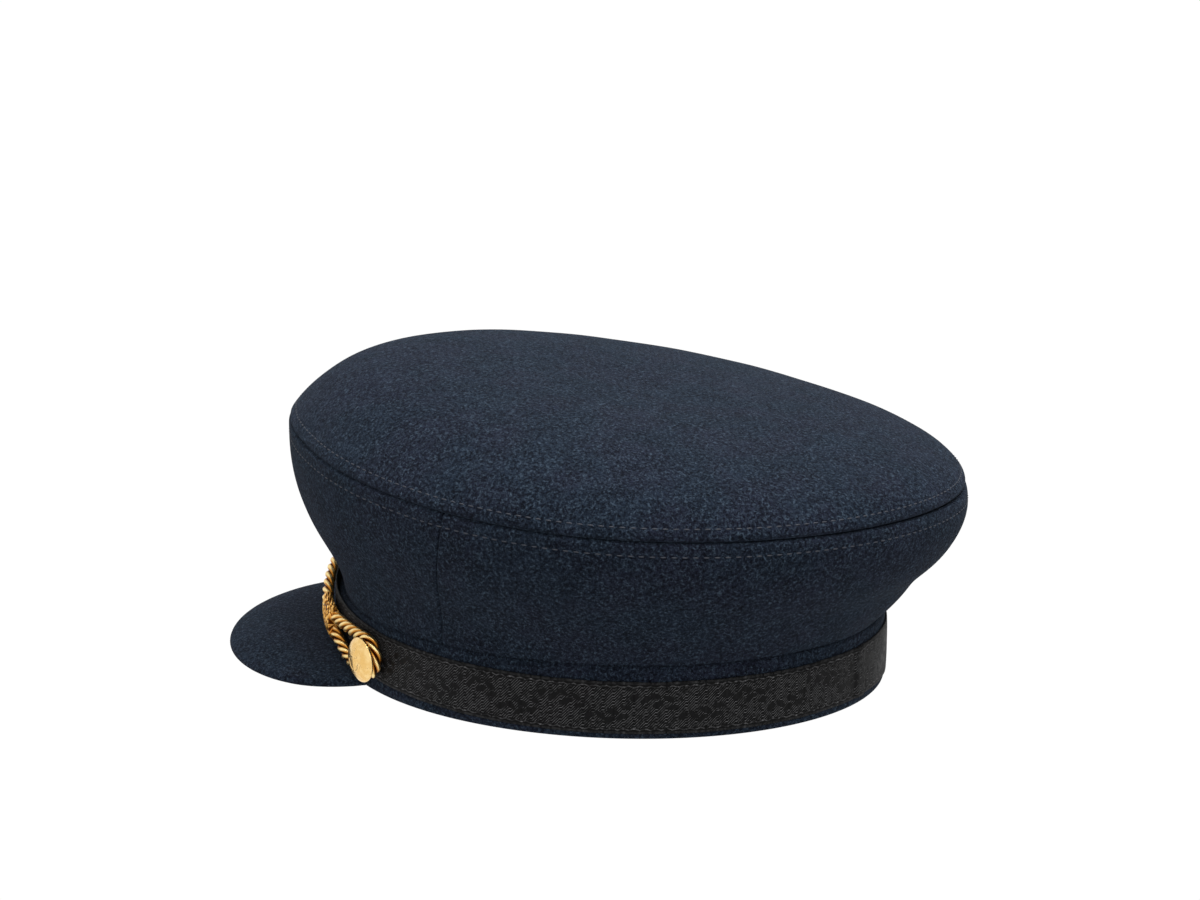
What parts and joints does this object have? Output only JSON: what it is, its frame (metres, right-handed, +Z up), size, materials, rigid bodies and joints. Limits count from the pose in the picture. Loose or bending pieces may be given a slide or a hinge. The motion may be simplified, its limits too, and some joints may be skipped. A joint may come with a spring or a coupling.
{
  "type": "captain_hat",
  "caption": "Wool captain hat with a wide oval crown, short cloth peak, woven ribbon round the band and a gilt rope held by a button on each side.",
  "frame": {"origin": "the middle of the hat's outline seen from above, on the surface that it rests on", "axes": "+X towards the wearer's left, +Y from the peak at the front to the back, +Z up from the head band to the crown"},
  "size_m": [0.218, 0.2834, 0.1174],
  "materials": {
    "wool": "dark navy felted wool",
    "ribbon": "black woven ribbon with a tone on tone pattern",
    "gilt": "polished gold colour"
  },
  "bodies": {
    "root": {"head_band": "wool", "ribbon": "ribbon", "side_panel_front": "wool", "side_panel_back": "wool", "crown_top": "wool", "peak": "wool", "rope_ornament": "gilt", "button_left": "gilt", "button_right": "gilt"}
  },
  "joints": []
}
